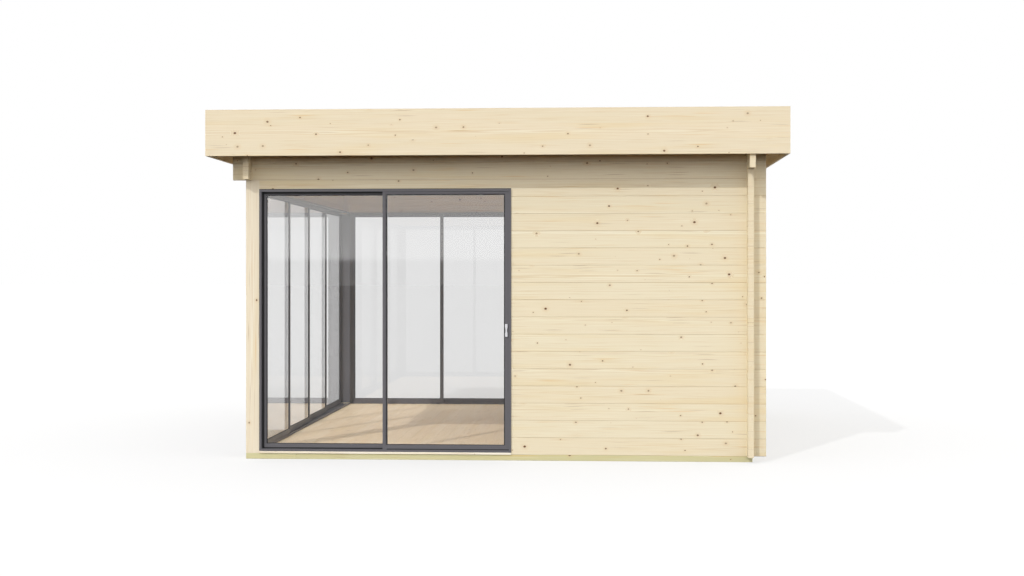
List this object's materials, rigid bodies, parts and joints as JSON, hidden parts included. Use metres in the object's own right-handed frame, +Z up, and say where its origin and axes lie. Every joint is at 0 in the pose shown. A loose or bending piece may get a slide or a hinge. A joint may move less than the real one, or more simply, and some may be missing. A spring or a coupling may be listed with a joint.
{
  "type": "garden office pod",
  "caption": "Flat-roofed garden office of notched logs with a deep fascia, sliding glass doors at front and rear and a telescopic glass wall along the left side.",
  "frame": {"origin": "on the ground at the centre of the building's footprint", "axes": "+Z up; +Y from the front with the sliding door to the rear; +X to the right, seen from the front"},
  "size_m": [4.496, 4.866, 2.734],
  "materials": {
    "spruce": "planed, unpainted",
    "treated_timber": "pressure treated, greenish",
    "floor_timber": "planed floor boards",
    "deck_board": "strand board",
    "anthracite_frame": "matt powder coat",
    "window_glass": "clear",
    "handle_metal": "satin",
    "membrane": "matt roofing sheet"
  },
  "bodies": {
    "building": {"floor_boards": "floor_timber", "floor_joists": "treated_timber", "front_door_jambs": "anthracite_frame", "front_door_rails": "anthracite_frame", "front_fascia": "spruce", "front_fixed_glass": "window_glass", "front_fixed_leaf": "anthracite_frame", "front_left_post": "spruce", "front_rear_beams": "treated_timber", "front_wall_beside_door": "spruce", "front_wall_over_door": "spruce", "left_fascia": "spruce", "left_glass_4": "window_glass", "left_leaf_4": "anthracite_frame", "left_unit_jambs": "anthracite_frame", "left_unit_rails": "anthracite_frame", "left_wall_over_door": "spruce", "rear_door_jambs": "anthracite_frame", "rear_door_rails": "anthracite_frame", "rear_fascia": "spruce", "rear_fixed_glass": "window_glass", "rear_fixed_leaf": "anthracite_frame", "rear_left_post": "spruce", "rear_wall_beside_door": "spruce", "rear_wall_over_door": "spruce", "right_fascia": "spruce", "right_wall": "spruce", "roof_battens": "spruce", "roof_beams": "spruce", "roof_boards": "spruce", "roof_deck": "deck_board", "roof_membrane": "membrane", "side_beams": "treated_timber", "side_top_logs": "spruce", "sill_boards": "spruce"},
    "front_door": {"front_sliding_leaf": "anthracite_frame", "front_sliding_glass": "window_glass", "front_handle": "handle_metal"},
    "rear_door": {"rear_sliding_leaf": "anthracite_frame", "rear_sliding_glass": "window_glass", "rear_handle": "handle_metal"},
    "left_door_1": {"left_leaf_1": "anthracite_frame", "left_glass_1": "window_glass", "left_handle": "handle_metal"},
    "left_door_2": {"left_leaf_2": "anthracite_frame", "left_glass_2": "window_glass"},
    "left_door_3": {"left_leaf_3": "anthracite_frame", "left_glass_3": "window_glass"}
  },
  "joints": [
    {"name": "front_door_slide", "type": "slide", "parent": "building", "child": "front_door", "axis": [-1, 0, 0], "range_m": [0, 0.97]},
    {"name": "rear_door_slide", "type": "slide", "parent": "building", "child": "rear_door", "axis": [-1, 0, 0], "range_m": [0, 0.97]},
    {"name": "left_door_1_slide", "type": "slide", "parent": "building", "child": "left_door_1", "axis": [0, 1, 0], "range_m": [0, 3.06]},
    {"name": "left_door_2_slide", "type": "slide", "parent": "building", "child": "left_door_2", "axis": [0, 1, 0], "range_m": [0, 2.04]},
    {"name": "left_door_3_slide", "type": "slide", "parent": "building", "child": "left_door_3", "axis": [0, 1, 0], "range_m": [0, 1.02]}
  ]
}
